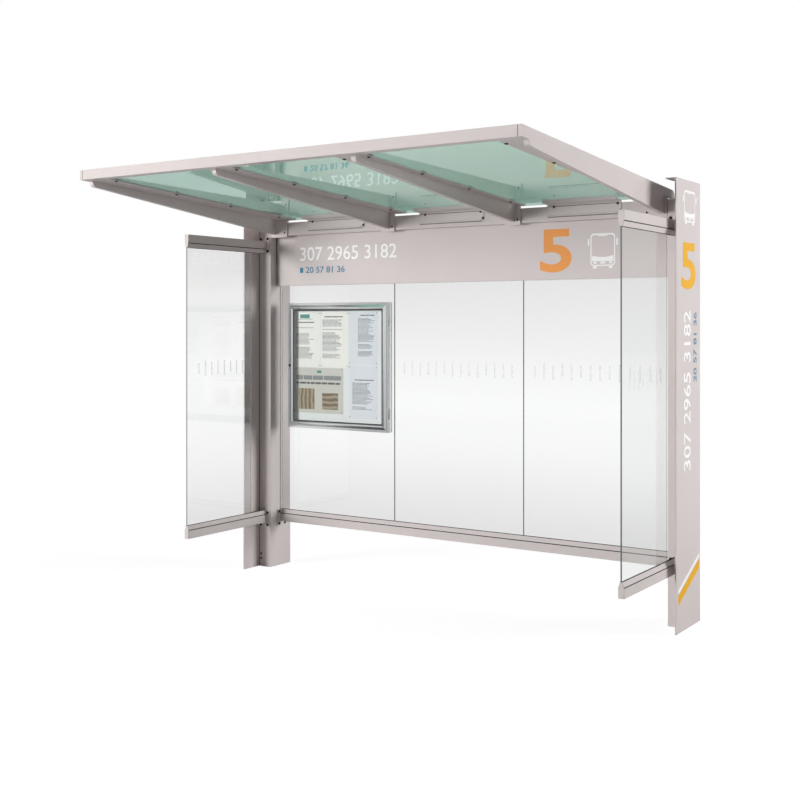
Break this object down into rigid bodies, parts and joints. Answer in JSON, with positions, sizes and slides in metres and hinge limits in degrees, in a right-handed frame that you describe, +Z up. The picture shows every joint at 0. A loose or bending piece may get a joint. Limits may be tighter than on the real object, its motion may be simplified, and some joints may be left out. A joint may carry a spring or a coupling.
{
  "type": "bus shelter",
  "caption": "Bus shelter with a glazed roof cantilevered from two flat posts and a header, glazed back and half sides, and a hinged notice case.",
  "frame": {"origin": "centre of the left post's foot, on the ground", "axes": "+X from the left post to the right post, +Y from the open front to the glazed back, +Z up"},
  "size_m": [3.042, 1.897, 2.5241],
  "materials": {
    "frame_paint": "satin warm grey powder coat",
    "clear_glass": "clear toughened glass",
    "roof_glass": "green translucent laminated glass",
    "case_aluminium": "satin anodised",
    "case_board": "matt white",
    "paper": "plain paper",
    "plain_steel": "galvanised",
    "lock_black": "black",
    "dark_fixings": "blackened screw heads",
    "rubber_seal": "black rubber",
    "pane_joint": "grey silicone",
    "glass_print": "frosted print",
    "white_film": "white film",
    "orange_film": "orange film",
    "yellow_film": "yellow film",
    "blue_film": "blue film",
    "notice_print": "print"
  },
  "bodies": {
    "shelter": {"post_tube_left": "frame_paint", "post_tube_right": "frame_paint", "blade_left": "frame_paint", "blade_right": "frame_paint", "header_beam": "frame_paint", "header_sign_panel": "frame_paint", "roof_fascia": "frame_paint", "roof_rim_left": "frame_paint", "roof_rim_right": "frame_paint", "roof_edge_beam_left": "frame_paint", "roof_edge_beam_right": "frame_paint", "roof_inner_beam_left": "frame_paint", "roof_inner_beam_right": "frame_paint", "rear_bracket_left": "frame_paint", "rear_bracket_centre": "frame_paint", "rear_bracket_right": "frame_paint", "back_bottom_rail": "frame_paint", "back_rail_plates": "frame_paint", "side_top_rail_left": "frame_paint", "side_top_rail_right": "frame_paint", "side_bottom_rail_left": "frame_paint", "side_bottom_rail_right": "frame_paint", "side_rail_plates_left": "frame_paint", "side_rail_plates_right": "frame_paint", "foot_plate_left": "plain_steel", "foot_plate_right": "plain_steel", "back_glass_left": "clear_glass", "back_glass_centre": "clear_glass", "back_glass_right": "clear_glass", "side_glass_left": "clear_glass", "side_glass_right": "clear_glass", "roof_glass_left": "roof_glass", "roof_glass_centre": "roof_glass", "roof_glass_right": "roof_glass", "case_tray": "case_aluminium", "case_board": "case_board", "case_notices": "paper", "case_hinges": "plain_steel"},
    "case_door": {"case_door_frame": "case_aluminium", "case_door_glass": "clear_glass", "case_door_knuckles": "plain_steel", "case_lock": "lock_black"}
  },
  "joints": [
    {"name": "case_door_hinge", "type": "hinge", "parent": "shelter", "child": "case_door", "pos_m": [0.978, -0.025, 1.3795], "axis": [0, 0, 1], "range_deg": [0, 110]}
  ]
}
